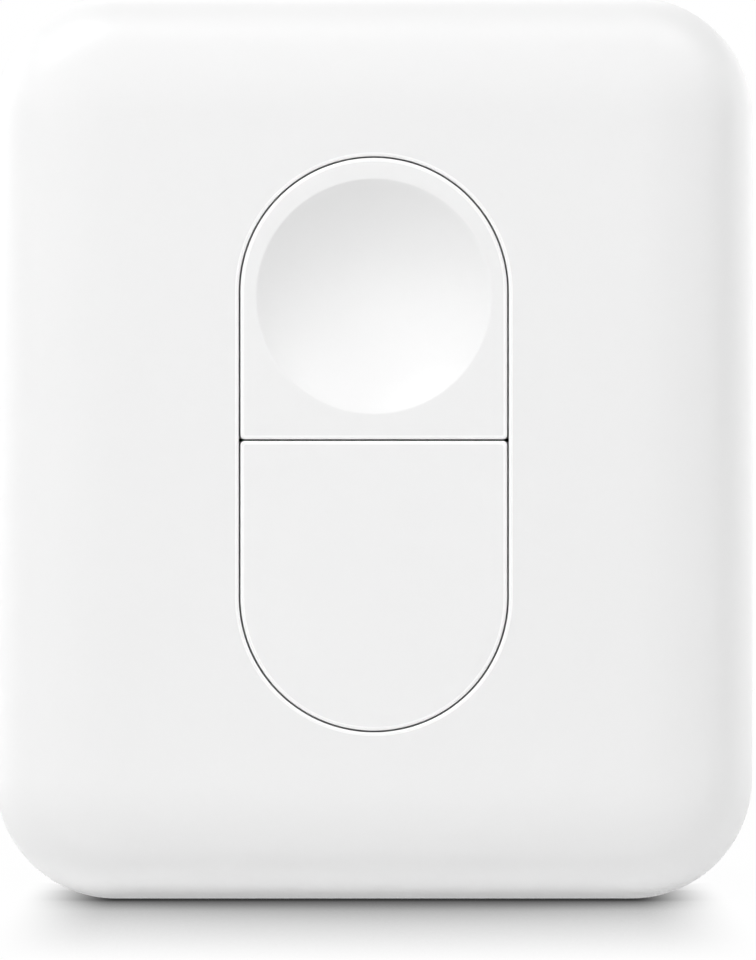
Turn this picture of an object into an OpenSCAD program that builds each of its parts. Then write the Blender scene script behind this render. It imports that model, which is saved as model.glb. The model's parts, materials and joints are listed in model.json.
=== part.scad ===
// Smart button: an upper and a lower key in one long round-ended opening of a soft-edged body.
// A circuit board with two snap-dome switches stands behind the keys, a coin cell in its holder
// behind the board, and a back cover pulls off to change the cell.
// Sizes are millimetres. Every piece is laid out lying on its back, with x to the right,
// y up the face and z out of the face, and is then stood up on its short lower side.

/* [Body] */
// Width of the body
body_w = 36.5; // [36:0.1:40]
// Height of the body as it stands
body_h = 43.5; // [42:0.1:50]
// Corner radius of the outline
corner_r = 5.8; // [5:0.1:6.5]
// Thickness of the side walls
wall_t = 1.6; // [1.4:0.05:1.8]
// Thickness of the front wall round the keys
face_t = 1.6; // [1.4:0.05:1.8]
// Radius where the front edge runs into the sides
edge_r = 3.3; // [2.8:0.1:3.5]
// How much wider the radius is where the front edge runs into the face
sweep_gain = 8; // [5:0.5:8.5]
// Radius inside the front edge
inner_edge_r = 2.6; // [2:0.1:3]
// Bevel that breaks the seam edges
edge_break = 0.2; // [0.1:0.05:0.3]

/* [Keys] */
// Width of the key opening
opening_w = 12.92; // [12.4:0.02:14]
// Length of the key opening
opening_l = 27.56; // [26.5:0.02:30]
// Height of the opening's centre above the body's centre
opening_y = 0.15; // [0:0.05:0.5]
// Height of the split between the keys above the opening's centre
split_y = 0.2; // [0:0.05:0.5]
// Gap round each key and between the keys
key_gap = 0.08; // [0.06:0.01:0.2]
// Bevel that breaks the edges of the keys and the opening
key_break = 0.1; // [0.05:0.05:0.3]
// Bevel across the corners of the keys at the split
key_corner = 0.2; // [0.15:0.05:0.5]
// Travel of a key and of the switch under it
key_travel = 0.3; // [0.2:0.05:0.35]
// Width of the flange that holds a key behind the face
flange_w = 0.7; // [0.5:0.05:0.9]
// Thickness of that flange
flange_t = 0.7; // [0.5:0.05:0.8]
// Thickness of a key's rim
key_rim_t = 1; // [0.8:0.05:1.2]
// Thickness of a key's plate
key_plate_t = 1.2; // [1:0.05:1.3]
// Diameter of the finger dimple in the upper key
dimple_d = 11.25; // [10:0.05:11.6]
// Height of the dimple's centre above the centre of its key
dimple_rise = 0.1; // [0:0.05:0.3]
// Depth of the dimple
dimple_depth = 1.4; // [0.9:0.05:1.5]
// Thickness of the upper key under the dimple
dimple_wall_t = 0.8; // [0.7:0.05:1.1]
// Diameter of the stem that presses the switch
stem_d = 3; // [2.4:0.1:3.6]
// Length of the stem under the dimple
stem_l = 0.18; // [0.15:0.01:0.4]

/* [Back cover] */
// Thickness of the back cover
cover_t = 1.2; // [1:0.05:1.5]
// Depth of the seam, from the back
seam_z = 2.4; // [2.2:0.05:2.8]
// Gap in the seam
seam_gap = 0.1; // [0.05:0.01:0.15]
// Radius of the back edge
back_edge_r = 1.4; // [0.8:0.1:1.6]
// Thickness of the tongue that plugs into the body
tongue_t = 0.8; // [0.7:0.05:1]
// Length of the tongue past the seam
tongue_l = 2.2; // [1.6:0.1:2.6]
// Gap round the tongue
tongue_gap = 0.08; // [0.07:0.01:0.12]
// Radius of the grip ribs on the tongue
grip_r = 0.4; // [0.3:0.05:0.4]
// Width of the nick for a fingernail or a coin
nick_w = 6; // [4:0.5:8]
// Height of the nick
nick_h = 0.8; // [0.5:0.1:0.8]
// Depth of the nick
nick_d = 1; // [0.6:0.1:1.2]
// Width of the shallow recess for a mounting pad
pad_w = 26; // [20:0.5:28]
// Height of that recess
pad_h = 33; // [26:0.5:35]
// Corner radius of that recess
pad_r = 3; // [1:0.5:4]
// Depth of that recess
pad_depth = 0.25; // [0.1:0.05:0.4]

/* [Coin cell and holder] */
// Diameter of the coin cell
cell_d = 24.5; // [20:0.1:24.8]
// Thickness of the coin cell
cell_t = 5; // [4.6:0.1:5.4]
// Distance of the cell's cap from the edge of the can
cap_inset = 2.05; // [1.8:0.05:2.6]
// Rise of the cap above the rim of the can
cap_rise = 0.35; // [0.2:0.05:0.45]
// Thickness of the cell's steel
cell_skin_t = 0.25; // [0.2:0.01:0.3]
// Part of the cell that stands free of its holder for the fingers
cell_grip = 1.2; // [0.8:0.1:2]
// Height of the ring on the cover that steadies the cell
cell_ring_h = 0.25; // [0.2:0.05:0.6]
// Gap between the ring and the cell
cell_gap = 0.05; // [0.03:0.01:0.1]
// Gap round the cell in its holder
holder_gap = 0.2; // [0.15:0.01:0.3]
// Thickness of the holder's wall
holder_wall_t = 1.1; // [1:0.05:1.3]
// Thickness of the holder's floor
holder_floor_t = 0.45; // [0.4:0.05:0.7]
// Width of the contact strips
contact_w = 3.6; // [2.4:0.1:4.4]
// Thickness of the contact strips
contact_t = 0.2; // [0.15:0.01:0.22]
// Room for the cap contact under the cell
contact_room = 0.35; // [0.3:0.05:0.6]

/* [Circuit board] */
// Thickness of the board
board_t = 0.8; // [0.6:0.1:1.2]
// Gap round the board
board_gap = 0.35; // [0.3:0.05:0.5]
// Distance of the screws from the board's edges
screw_inset = 3.3; // [3:0.1:3.6]
// Diameter of the screw bosses
boss_d = 4; // [3.4:0.1:4.4]
// Diameter of the screw shanks
screw_d = 1.6; // [1.4:0.1:1.8]
// Diameter of the screw heads
screw_head_d = 2.8; // [2.6:0.1:3.2]
// Height of the screw heads
screw_head_h = 0.8; // [0.6:0.1:1]
// Length of screw in the boss
screw_grip = 2; // [1.6:0.1:2.2]
// Side of the radio chip
chip_w = 4; // [3:0.1:5]
// Height of the radio chip
chip_h = 0.85; // [0.7:0.05:1]

/* [Switches] */
// Side of a switch
switch_w = 5.2; // [5:0.1:6]
// Thickness of a switch's floor
switch_floor_t = 0.25; // [0.2:0.05:0.4]
// Thickness of a switch's steel cover
switch_cover_t = 0.15; // [0.1:0.01:0.2]
// Diameter of a switch's plunger
plunger_d = 2.4; // [2:0.1:2.8]
// Width of the plunger's collar
collar_w = 0.4; // [0.3:0.05:0.5]
// Thickness of the plunger's collar
collar_t = 0.12; // [0.1:0.01:0.15]
// Height of the pressed plunger above the cover
plunger_stand = 0.25; // [0.15:0.01:0.3]
// Diameter of the snap dome
dome_d = 3.6; // [3.2:0.1:3.8]
// Thickness of the snap dome
dome_t = 0.08; // [0.06:0.01:0.1]
// Gap round the plunger and the dome
switch_gap = 0.1; // [0.08:0.01:0.15]

/* [Hidden] */
$fn = 96;
// length that a cut runs past the face it opens, and that a joined lump sinks into its wall
past = 1;
sink = 0.3;
// gap between faces that meet or slide lightly
touch = 0.02;
slack = 0.05;

shell_white = "#efefee";
key_white = "#f0f0ef";
mask_green = "#1f5a3c";
holder_black = "#26272a";
plunger_grey = "#4a4c50";
spring_steel = "#b9bcc0";
tin_plate = "#c9ccd0";
cell_steel = "#c4c6c8";
seal_grey = "#5a5c60";
pellet_grey = "#3a3b3d";
screw_steel = "#a9acb0";
epoxy_black = "#1d1e20";
ceramic_tan = "#b39a78";
ceramic_black = "#303134";
lens_amber = "#e9dfb6";
gold_plate = "#d2ab58";

// front edge of the body: the wide arc turns through the small angle of a right triangle and
// meets the tight arc at join_x; it is no wider than the corner radius leaves room for
triangle = [7, 24, 25];
sweep_sin = triangle[0] / triangle[2];
sweep_cos = triangle[1] / triangle[2];
sweep_step = 0.25;
sweep_room = floor((corner_r - edge_r) / sweep_sin / sweep_step) * sweep_step;
sweep = min(sweep_gain, sweep_room);
sweep_r = edge_r + sweep;
sweep_x = corner_r - edge_r - sweep * sweep_sin;
join_x = sweep_x + sweep_r * sweep_sin;

// switch, from the board up
collar_gap = slack;
well_depth = key_travel + dome_t + collar_t + collar_gap;
switch_base_h = switch_floor_t + well_depth;
switch_h = switch_base_h + switch_cover_t + key_travel + plunger_stand;

// the stack of pieces from the back cover to the face sets the depth of the body
cell_z = cover_t + cell_ring_h + cell_gap;
cell_top_z = cell_z + cell_t;
holder_z = cell_top_z + contact_room;
board_z = holder_z + holder_floor_t;
board_top_z = board_z + board_t;
plunger_z = board_top_z + switch_h;
body_t = plunger_z + touch + stem_l + dimple_wall_t + dimple_depth;
face_z = body_t - face_t;
tight_x = corner_r - edge_r;
tight_z = body_t - sweep_r + sweep * sweep_cos;

// inside of the body
cavity_w = body_w - 2 * wall_t;
cavity_h = body_h - 2 * wall_t;
cavity_r = corner_r - wall_t;

// keys
opening_run = opening_l - opening_w;
key_half_w = opening_w / 2 - key_gap;
flange_half_w = key_half_w + flange_w;
flange_z = face_z - slack - flange_t;
key_top_y = opening_l / 2 - key_gap;
upper_key_y = (key_top_y + split_y + key_gap / 2) / 2 + dimple_rise;
lower_key_y = (split_y - key_gap / 2 - key_top_y) / 2;
dimple_sphere_r = (pow(dimple_d / 2, 2) + pow(dimple_depth, 2)) / (2 * dimple_depth);
key_rib_t = 0.7;

// back cover
cover_top_z = seam_z - seam_gap;
tongue_w = body_w - 2 * (wall_t + tongue_gap);
tongue_h = body_h - 2 * (wall_t + tongue_gap);
tongue_r = corner_r - wall_t - tongue_gap;
tongue_z = seam_z + tongue_l;
grip_h = tongue_gap - touch;
grip_place_x = tongue_w / 4;
grip_place_y = tongue_h / 4;
cell_ring_inset = 1.25;
cell_ring_r = cell_d / 2 - cell_ring_inset;
cell_ring_t = 0.8;

// board, screws and holder
board_w = cavity_w - 2 * board_gap;
board_h = cavity_h - 2 * board_gap;
board_r = cavity_r - board_gap;
screw_x = board_w / 2 - screw_inset;
screw_y = board_h / 2 - screw_inset;
hole_gap = 0.1;
cross_l = 1.6;
cross_w = 0.4;
cross_depth = 0.45;
cell_r = cell_d / 2;
holder_in_r = cell_r + holder_gap;
holder_r = holder_in_r + holder_wall_t;
holder_low_z = cell_z + cell_grip;
ledge_w = 1.05;
ledge_in_r = cell_r - ledge_w;
ledge_z = cell_top_z - cap_rise + slack;
thumb_w = 12;
thumb_h = 2.2;
slot_gap = 0.3;
peg_d = 1.2;
peg_y = 9;
foot_l = 1.4;
pad_t = 0.04;

// coin cell
can_rim_z = cell_top_z - cap_rise;
can_lip = 1.2;
can_break = 0.35;
cap_r = cell_r - cap_inset;
seal_t = 0.3;
cap_brim_z = can_rim_z - cell_skin_t - seal_t;
cap_brim_w = 0.9;
cap_brim_r = cap_r + cap_brim_w;
seal_reach = 1;
seal_low_z = cap_brim_z - cell_skin_t - seal_reach;
pellet_t = 2.4;
paper_t = 0.1;

// small parts in the strip between the holder and the upper end of the board
strip_y = (holder_r + board_h / 2) / 2;
clock_can = [3.2, 2.5, 0.7];
watch_can = [2, 1.2, 0.6];
capacitor = [1, 0.5, 0.5];
resistor = [1, 0.5, 0.35];
led = [1.6, 0.8, 0.6];
led_drop = 1.6;
led_y = opening_y + split_y - led_drop;
part_pitch = 1.1;
chip_row_n = 4;

// Stands a piece up: its face towards -y, its lower side on the ground.
module stand() {
    translate([0, body_t / 2, body_h / 2])
        rotate([90, 0, 0])
        children();
}

// Carries an edge profile round a rounded rectangle. The profile is height against the
// distance from a corner's axis, and runs out to the corner radius.
module rect_sweep(w, h, r, z0, z1) {
    run_x = w - 2 * r;
    run_y = h - 2 * r;
    union() {
        translate([-run_x / 2, -run_y / 2, z0])
            cube([run_x, run_y, z1 - z0]);
        for (side = [0, 1]) {
            mirror([side, 0, 0])
                translate([run_x / 2, run_y / 2, 0])
                rotate([90, 0, 0])
                linear_extrude(run_y)
                children();
            mirror([0, side, 0])
                translate([-run_x / 2, run_y / 2, 0])
                rotate([90, 0, 90])
                linear_extrude(run_x)
                children();
            for (end = [0, 1])
                mirror([side, 0, 0])
                mirror([0, end, 0])
                translate([run_x / 2, run_y / 2, 0])
                rotate_extrude(angle = 90)
                children();
        }
    }
}

// Plate with rounded corners and square edges.
module round_plate(w, h, r, z0, z1) {
    rect_sweep(w, h, r, z0, z1)
        translate([0, z0])
        square([r, z1 - z0]);
}

// Carries half of a section round a bar with round ends that lies along y.
module pill_sweep(run) {
    union() {
        translate([0, run / 2, 0])
            rotate([90, 0, 0])
            linear_extrude(run) {
                children();
                mirror([1, 0])
                    children();
            }
        for (end = [0, 1])
            mirror([0, end, 0])
            translate([0, run / 2, 0])
            rotate_extrude(angle = 180)
            children();
    }
}

// Block that stands on z0, centred on x and y.
module block(size, z0) {
    translate([-size[0] / 2, -size[1] / 2, z0])
        cube(size);
}

// Sheet strip of thickness t that follows a path of points, each turn mitred.
function heading(p, i) = (p[i + 1] - p[i]) / norm(p[i + 1] - p[i]);
function left_of(v) = [-v[1], v[0]];
function side_at(p, i) =
    i == 0 ? left_of(heading(p, 0)) :
    i == len(p) - 1 ? left_of(heading(p, i - 1)) :
    (left_of(heading(p, i - 1)) + left_of(heading(p, i))) / (1 + heading(p, i - 1) * heading(p, i));
module strip(p, t, w) {
    last = len(p) - 1;
    left = [for (i = [0:last]) p[i] + side_at(p, i) * t / 2];
    right = [for (i = [0:last]) p[last - i] - side_at(p, last - i) * t / 2];
    translate([0, w / 2, 0])
        rotate([90, 0, 0])
        linear_extrude(w)
        polygon(concat(left, right));
}

module at_screws() {
    for (x = [-screw_x, screw_x], y = [-screw_y, screw_y])
        translate([x, y, 0])
        children();
}

module at_upper_switch() {
    translate([0, opening_y + upper_key_y, 0])
        children();
}

module at_lower_switch() {
    translate([0, opening_y + lower_key_y, 0])
        children();
}

// Front housing: soft front edges, the key opening and the screw bosses behind the face.
module housing_edge() {
    translate([0, seam_z])
        square([sweep_x, body_t - seam_z]);
    intersection() {
        translate([sweep_x, body_t - sweep_r])
            circle(sweep_r);
        translate([sweep_x, seam_z])
            square([join_x - sweep_x, body_t - seam_z]);
    }
    intersection() {
        translate([tight_x, tight_z])
            circle(edge_r);
        translate([join_x, tight_z])
            square([corner_r - join_x, edge_r]);
    }
    polygon([
        [join_x, seam_z],
        [corner_r - edge_break, seam_z],
        [corner_r, seam_z + edge_break],
        [corner_r, tight_z],
        [join_x, tight_z]
    ]);
}

module cavity_edge() {
    flat_r = cavity_r - inner_edge_r;
    side_z = face_z - inner_edge_r;
    translate([0, seam_z - past])
        square([flat_r, face_z - seam_z + past]);
    translate([flat_r, seam_z - past])
        square([inner_edge_r, side_z - seam_z + past]);
    intersection() {
        translate([flat_r, side_z])
            circle(inner_edge_r);
        translate([flat_r, side_z])
            square(inner_edge_r);
    }
}

module opening_edge() {
    polygon([
        [0, face_z - past],
        [opening_w / 2, face_z - past],
        [opening_w / 2, body_t - key_break],
        [opening_w / 2 + key_break, body_t],
        [opening_w / 2 + key_break, body_t + past],
        [0, body_t + past]
    ]);
}

module front_housing() {
    color(shell_white)
        stand()
        difference() {
            union() {
                difference() {
                    rect_sweep(body_w, body_h, corner_r, seam_z, body_t)
                        housing_edge();
                    rect_sweep(cavity_w, cavity_h, cavity_r, seam_z - past, face_z)
                        cavity_edge();
                }
                at_screws()
                    translate([0, 0, board_top_z])
                    cylinder(d = boss_d, h = face_z - board_top_z + sink);
            }
            translate([0, opening_y, 0])
                pill_sweep(opening_run)
                opening_edge();
            at_screws()
                translate([0, 0, board_top_z - past])
                cylinder(d = screw_d + 2 * touch, h = screw_grip + slack + past);
        }
}

// Back cover: a shallow tray with a tongue that plugs into the housing.
module cover_edge() {
    flat_r = corner_r - back_edge_r;
    square([flat_r, cover_top_z]);
    intersection() {
        translate([flat_r, back_edge_r])
            circle(back_edge_r);
        translate([flat_r, 0])
            square(back_edge_r);
    }
    polygon([
        [flat_r, back_edge_r],
        [corner_r, back_edge_r],
        [corner_r, cover_top_z - edge_break],
        [corner_r - edge_break, cover_top_z],
        [flat_r, cover_top_z]
    ]);
}

module grip_rib() {
    translate([0, 0, seam_z + sink])
        cylinder(r = grip_r, h = tongue_l - 2 * sink);
}

module back_cover() {
    hollow_w = tongue_w - 2 * tongue_t;
    hollow_h = tongue_h - 2 * tongue_t;
    rib_x = tongue_w / 2 - grip_r + grip_h;
    rib_y = tongue_h / 2 - grip_r + grip_h;
    color(shell_white)
        stand()
        difference() {
            union() {
                difference() {
                    union() {
                        rect_sweep(body_w, body_h, corner_r, 0, cover_top_z)
                            cover_edge();
                        round_plate(tongue_w, tongue_h, tongue_r, cover_t, tongue_z);
                    }
                    round_plate(hollow_w, hollow_h, tongue_r - tongue_t, cover_t, tongue_z + past);
                }
                for (side = [-1, 1], place = [-1, 1]) {
                    translate([side * rib_x, place * grip_place_y, 0])
                        grip_rib();
                    translate([place * grip_place_x, side * rib_y, 0])
                        grip_rib();
                }
                difference() {
                    translate([0, 0, cover_t - sink])
                        cylinder(r = cell_ring_r, h = cell_ring_h + sink);
                    translate([0, 0, cover_t - sink - past])
                        cylinder(r = cell_ring_r - cell_ring_t, h = cell_ring_h + sink + 2 * past);
                }
            }
            round_plate(pad_w, pad_h, pad_r, -past, pad_depth);
            translate([-nick_w / 2, -body_h / 2 - past, cover_top_z - nick_h])
                cube([nick_w, nick_d + past, nick_h + past]);
        }
}

// Keys: one round-ended blank with a flange, split across by the gap between the keys.
module key_edge() {
    polygon([
        [0, flange_z],
        [flange_half_w, flange_z],
        [flange_half_w, flange_z + flange_t],
        [key_half_w, flange_z + flange_t],
        [key_half_w, body_t - key_break],
        [key_half_w - key_break, body_t],
        [0, body_t]
    ]);
}

// The part of the opening that one key takes, with a margin kept clear at the split.
module key_side(upper, margin) {
    edge_y = split_y + (upper ? 1 : -1) * (key_gap / 2 + margin);
    translate([-opening_l, upper ? edge_y : edge_y - opening_l, 0])
        cube([2 * opening_l, opening_l, body_t + past]);
}

// Wedge that bevels the straight edge of a key at the split.
module split_bevel(upper) {
    translate([-opening_w / 2 - past, split_y, body_t])
        mirror([0, upper ? 0 : 1, 0])
        translate([0, key_gap / 2, 0])
        rotate([90, 0, 90])
        linear_extrude(opening_w + 2 * past)
        polygon([[-past, -key_break - past], [-past, past], [key_break + past, past]]);
}

// Wedges that bevel the two corners of a key at the split, above its flange.
module corner_bevels(upper) {
    for (side = [0, 1])
        mirror([side, 0, 0])
        translate([key_half_w, split_y, flange_z + flange_t])
        mirror([0, upper ? 0 : 1, 0])
        translate([0, key_gap / 2, 0])
        linear_extrude(body_t)
        polygon([[past, -key_corner - past], [past, key_corner + past], [-key_corner - past, -past]]);
}

module key_blank(upper) {
    difference() {
        intersection() {
            pill_sweep(opening_run)
                key_edge();
            key_side(upper, 0);
        }
        split_bevel(upper);
        corner_bevels(upper);
    }
}

module key_pocket(upper) {
    intersection() {
        pill_sweep(opening_run)
            translate([0, flange_z - past])
            square([key_half_w - key_rim_t, body_t - key_plate_t - flange_z + past]);
        key_side(upper, key_rim_t);
    }
}

module key_stem(top_z) {
    translate([0, 0, plunger_z + touch])
        cylinder(d = stem_d, h = top_z - plunger_z - touch);
}

module upper_key() {
    dimple_z = body_t - dimple_depth + dimple_sphere_r;
    color(key_white)
        stand()
        translate([0, opening_y, 0])
        difference() {
            union() {
                difference() {
                    key_blank(true);
                    difference() {
                        key_pocket(true);
                        translate([0, upper_key_y, dimple_z])
                            sphere(r = dimple_sphere_r + dimple_wall_t);
                    }
                }
                translate([0, upper_key_y, 0])
                    key_stem(body_t - dimple_depth - dimple_wall_t + sink);
            }
            translate([0, upper_key_y, dimple_z])
                sphere(r = dimple_sphere_r);
        }
}

module lower_key() {
    pocket_z = body_t - key_plate_t;
    rib_z = flange_z + key_travel;
    rib_h = pocket_z + sink - rib_z;
    rib_run = key_half_w - key_rim_t / 2;
    color(key_white)
        stand()
        translate([0, opening_y, 0])
        union() {
            difference() {
                key_blank(false);
                key_pocket(false);
            }
            translate([0, lower_key_y, 0]) {
                key_stem(pocket_z + sink);
                block([2 * rib_run, key_rib_t, rib_h], rib_z);
                block([key_rib_t, 2 * rib_run, rib_h], rib_z);
            }
        }
}

// Circuit board with its screws.
module circuit_board() {
    color(mask_green)
        stand()
        difference() {
            round_plate(board_w, board_h, board_r, board_z, board_top_z);
            at_screws()
                translate([0, 0, board_z - past])
                cylinder(d = screw_d + 2 * hole_gap, h = board_t + 2 * past);
            for (y = [-peg_y, peg_y])
                translate([0, y, board_z - past])
                cylinder(d = peg_d + 2 * slack, h = board_t + 2 * past);
        }
}

module board_screws() {
    color(screw_steel)
        stand()
        at_screws()
        difference() {
            union() {
                translate([0, 0, board_z - screw_head_h])
                    cylinder(d = screw_head_d, h = screw_head_h);
                translate([0, 0, board_z - sink])
                    cylinder(d = screw_d, h = sink + board_t + screw_grip);
            }
            block([cross_l, cross_w, cross_depth + past], board_z - screw_head_h - past);
            block([cross_w, cross_l, cross_depth + past], board_z - screw_head_h - past);
        }
}

// Switch: base with a well, snap dome, plunger with a collar, steel cover and four terminals.
module switch_base() {
    well_d = max(dome_d, plunger_d + 2 * collar_w) + 2 * switch_gap;
    difference() {
        block([switch_w, switch_w, switch_base_h], board_top_z);
        translate([0, 0, board_top_z + switch_floor_t])
            cylinder(d = well_d, h = well_depth + past);
    }
}

module switch_terminals() {
    tab = [0.6, 0.9, 0.15];
    for (side = [-1, 1], place = [-1, 1])
        translate([side * (switch_w + tab[0]) / 2, place * switch_w / 4, 0])
        block(tab, board_top_z);
}

module switch_dome() {
    floor_z = board_top_z + switch_floor_t;
    dome_r = (pow(dome_d / 2, 2) + pow(key_travel, 2)) / (2 * key_travel);
    rotate_extrude()
        intersection() {
            translate([0, floor_z + key_travel - dome_r])
                difference() {
                    circle(dome_r);
                    circle(dome_r - dome_t);
                }
            translate([0, floor_z])
                square([dome_d / 2, key_travel]);
        }
}

module switch_plunger() {
    collar_z = board_top_z + switch_base_h - collar_gap / 2 - collar_t;
    translate([0, 0, collar_z])
        cylinder(d = plunger_d + 2 * collar_w, h = collar_t);
    translate([0, 0, collar_z])
        cylinder(d = plunger_d, h = plunger_z - collar_z);
}

module switch_cover() {
    cover_z = board_top_z + switch_base_h;
    ear = [switch_w / 2, switch_cover_t, switch_base_h / 2 + switch_cover_t];
    difference() {
        union() {
            block([switch_w, switch_w, switch_cover_t], cover_z);
            for (side = [-1, 1])
                translate([0, side * (switch_w + switch_cover_t) / 2, 0])
                block(ear, cover_z + switch_cover_t - ear[2]);
        }
        translate([0, 0, cover_z - past])
            cylinder(d = plunger_d + 2 * switch_gap, h = switch_cover_t + 2 * past);
    }
}

module upper_switch_base() {
    color(holder_black) stand() at_upper_switch() switch_base();
}

module upper_switch_terminals() {
    color(tin_plate) stand() at_upper_switch() switch_terminals();
}

module upper_switch_dome() {
    color(spring_steel) stand() at_upper_switch() switch_dome();
}

module upper_switch_plunger() {
    color(plunger_grey) stand() at_upper_switch() switch_plunger();
}

module upper_switch_cover() {
    color(tin_plate) stand() at_upper_switch() switch_cover();
}

module lower_switch_base() {
    color(holder_black) stand() at_lower_switch() switch_base();
}

module lower_switch_terminals() {
    color(tin_plate) stand() at_lower_switch() switch_terminals();
}

module lower_switch_dome() {
    color(spring_steel) stand() at_lower_switch() switch_dome();
}

module lower_switch_plunger() {
    color(plunger_grey) stand() at_lower_switch() switch_plunger();
}

module lower_switch_cover() {
    color(tin_plate) stand() at_lower_switch() switch_cover();
}

// Small parts on the back of the board, in the strip above the coin cell.
module on_board_back(x, y, height) {
    translate([x, y, board_z - height])
        children();
}

radio_x = -chip_w / 2;
crystal_x = clock_can[0] / 2 + part_pitch;
side_x = crystal_x + clock_can[0] / 2 + part_pitch;

module radio_chip() {
    dot_d = 0.6;
    dot_inset = 0.8;
    dot_depth = 0.08;
    color(epoxy_black)
        stand()
        on_board_back(radio_x, strip_y, chip_h)
        difference() {
            block([chip_w, chip_w, chip_h], 0);
            translate([chip_w / 2 - dot_inset, chip_w / 2 - dot_inset, -past])
                cylinder(d = dot_d, h = dot_depth + past);
        }
}

module radio_crystal() {
    color(tin_plate)
        stand()
        on_board_back(crystal_x, strip_y + chip_w / 4, clock_can[2])
        block(clock_can, 0);
}

module watch_crystal() {
    color(tin_plate)
        stand()
        on_board_back(crystal_x, strip_y - chip_w / 4, watch_can[2])
        block(watch_can, 0);
}

module chip_capacitors() {
    color(ceramic_tan)
        stand()
        for (x = [side_x, radio_x - chip_w / 2 - part_pitch], i = [1:chip_row_n])
            on_board_back(x, strip_y + (i - (chip_row_n + 1) / 2) * part_pitch, capacitor[2])
            block(capacitor, 0);
}

module chip_resistors() {
    color(ceramic_black)
        stand()
        for (i = [-1:1])
            translate([switch_w / 2 + part_pitch, led_y + i * part_pitch, 0])
            block(resistor, board_top_z);
}

module status_led() {
    color(lens_amber)
        stand()
        translate([0, led_y, 0])
        block(led, board_top_z);
}

// Antenna track folded along the lower end of the board, and pads for testing beside it.
module antenna_track() {
    track_w = 0.6;
    fold_h = 3;
    fold_pitch = 1.8;
    folds = 5;
    track_inset = 0.8;
    low_y = -board_h / 2 + track_inset;
    start_x = -folds * fold_pitch;
    color(gold_plate)
        stand()
        translate([0, 0, board_z - pad_t])
        linear_extrude(pad_t)
        union() {
            for (i = [0:folds])
                translate([start_x + i * fold_pitch, low_y])
                square([track_w, fold_h]);
            for (i = [0:folds - 1])
                translate([start_x + i * fold_pitch, low_y + (i % 2 == 0 ? fold_h - track_w : 0)])
                square([fold_pitch + track_w, track_w]);
        }
}

module test_pads() {
    test_pad_d = 1.3;
    test_pitch = 2.2;
    color(gold_plate)
        stand()
        for (i = [1:4])
            translate([i * test_pitch, -strip_y - part_pitch, board_z - pad_t])
            cylinder(d = test_pad_d, h = pad_t);
}

// Battery holder: a round cup on the back of the board with slots for the two contacts.
module battery_holder() {
    slot_w = contact_w + 2 * slot_gap;
    color(holder_black)
        stand()
        difference() {
            union() {
                difference() {
                    translate([0, 0, holder_low_z])
                        cylinder(r = holder_r, h = board_z - holder_low_z);
                    translate([0, 0, holder_low_z - past])
                        cylinder(r = holder_in_r, h = holder_z - holder_low_z + past);
                }
                difference() {
                    translate([0, 0, ledge_z])
                        cylinder(r = holder_in_r + sink, h = board_z - ledge_z);
                    translate([0, 0, ledge_z - past])
                        cylinder(r = ledge_in_r, h = holder_z - ledge_z + past);
                }
                for (y = [-peg_y, peg_y])
                    translate([0, y, holder_z + slack])
                    cylinder(d = peg_d, h = board_top_z - holder_z - 2 * slack);
            }
            translate([holder_in_r - contact_room, -slot_w / 2, holder_low_z - past])
                cube([holder_r, slot_w, board_z - holder_low_z + 2 * past]);
            translate([-holder_r - past, -slot_w / 2, holder_z - slack])
                cube([holder_r + contact_w + past, slot_w, holder_floor_t + slack + past]);
            translate([-thumb_w / 2, -holder_r - past, holder_low_z - past])
                cube([thumb_w, holder_r, thumb_h + past]);
        }
}

// Contacts: one springs against the side of the can, the other against the cap.
module positive_contact() {
    foot_z = board_z - contact_t / 2;
    wall_x = holder_r - contact_t;
    touch_x = cell_r + slack + contact_t / 2;
    color(spring_steel)
        stand()
        strip([
            [holder_r + foot_l, foot_z],
            [wall_x, foot_z],
            [wall_x, holder_low_z],
            [touch_x, holder_low_z + cell_t / 4],
            [wall_x - 2 * contact_t, holder_low_z + cell_t / 2]
        ], contact_t, contact_w);
}

module negative_contact() {
    foot_z = board_z - contact_t / 2;
    touch_z = cell_top_z + touch + contact_t / 2;
    color(spring_steel)
        stand()
        strip([
            [-holder_r - foot_l, foot_z],
            [-cap_r + contact_w, foot_z],
            [-contact_w / 2, touch_z],
            [contact_w / 4, touch_z],
            [contact_w / 2, touch_z + contact_t]
        ], contact_t, contact_w);
}

// Coin cell: a can that is the wide pole, a cap that is the other, and a seal between them.
module coin_cell_can() {
    in_r = cell_r - cell_skin_t;
    plus_l = 4;
    plus_w = 0.7;
    plus_depth = 0.06;
    color(cell_steel)
        stand()
        difference() {
            rotate_extrude()
                polygon([
                    [0, cell_z],
                    [cell_r - can_break, cell_z],
                    [cell_r, cell_z + can_break],
                    [cell_r, can_rim_z],
                    [cell_r - can_lip, can_rim_z],
                    [cell_r - can_lip, can_rim_z - cell_skin_t],
                    [in_r, can_rim_z - cell_skin_t],
                    [in_r, cell_z + can_break],
                    [in_r - can_break, cell_z + cell_skin_t],
                    [0, cell_z + cell_skin_t]
                ]);
            block([plus_l, plus_w, plus_depth + past], cell_z - past);
            block([plus_w, plus_l, plus_depth + past], cell_z - past);
        }
}

module coin_cell_cap() {
    color(cell_steel)
        stand()
        rotate_extrude()
        polygon([
            [0, cell_top_z],
            [cap_r - can_break, cell_top_z],
            [cap_r, cell_top_z - can_break],
            [cap_r, cap_brim_z],
            [cap_brim_r, cap_brim_z],
            [cap_brim_r, cap_brim_z - cell_skin_t],
            [cap_r - cell_skin_t, cap_brim_z - cell_skin_t],
            [cap_r - cell_skin_t, cell_top_z - can_break],
            [cap_r - cell_skin_t - can_break, cell_top_z - cell_skin_t],
            [0, cell_top_z - cell_skin_t]
        ]);
}

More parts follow.
